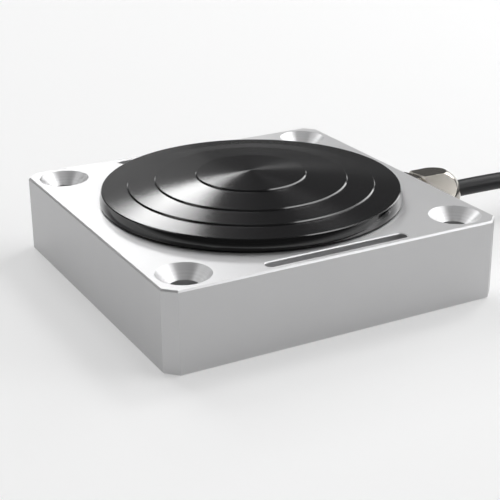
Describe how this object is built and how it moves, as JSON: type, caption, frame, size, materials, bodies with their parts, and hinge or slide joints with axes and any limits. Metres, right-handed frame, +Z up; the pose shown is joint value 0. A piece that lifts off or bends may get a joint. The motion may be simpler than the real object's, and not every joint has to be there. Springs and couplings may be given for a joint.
{
  "type": "pedal force sensor",
  "caption": "Flat square load cell with a terraced round load disc on top, countersunk corner fixing holes, a slot and a side cable gland with its lead.",
  "frame": {"origin": "middle of the block's underside", "axes": "+Z up through the load disc, +X out of the cable gland"},
  "size_m": [0.2641, 0.1413, 0.0336],
  "materials": {
    "satin_aluminium": "fine satin, clear anodised",
    "cover_aluminium": "rolled sheet, clear anodised",
    "black_anodised": "turned, black anodised",
    "element_steel": "machined",
    "gauge_foil": "amber film",
    "black_steel": "black oxide",
    "stainless": "bright",
    "gasket_rubber": "matt",
    "board_laminate": "solder mask",
    "resistor_ceramic": "matt",
    "enamelled_copper": "enamelled",
    "lead_red": "extruded",
    "lead_black": "extruded",
    "lead_green": "extruded",
    "lead_white": "extruded",
    "nickel_brass": "bright nickel plate",
    "cable_jacket": "satin",
    "tie_fabric": "woven hook and loop",
    "tinned_copper": "tinned"
  },
  "bodies": {
    "root": {"board_screws": "stainless", "board_standoffs": "stainless", "bottom_cover": "cover_aluminium", "cable_coil": "cable_jacket", "cable_inlet": "cable_jacket", "cable_run": "cable_jacket", "cable_tail": "cable_jacket", "cable_tie": "tie_fabric", "cover_gasket": "gasket_rubber", "cover_screws": "stainless", "disc_screws": "black_steel", "element_screws": "black_steel", "gauge_wires": "enamelled_copper", "gland_body": "nickel_brass", "gland_nut": "nickel_brass", "gland_seal": "gasket_rubber", "gland_washer": "gasket_rubber", "inner_lead_black": "lead_black", "inner_lead_green": "lead_green", "inner_lead_red": "lead_red", "inner_lead_white": "lead_white", "lead_black": "lead_black", "lead_green": "lead_green", "lead_red": "lead_red", "lead_tips": "tinned_copper", "lead_white": "lead_white", "load_disc": "black_anodised", "sensor_body": "satin_aluminium", "spoke_element": "element_steel", "strain_gauges": "gauge_foil", "terminal_board": "board_laminate", "trim_resistors": "resistor_ceramic"}
  },
  "joints": []
}
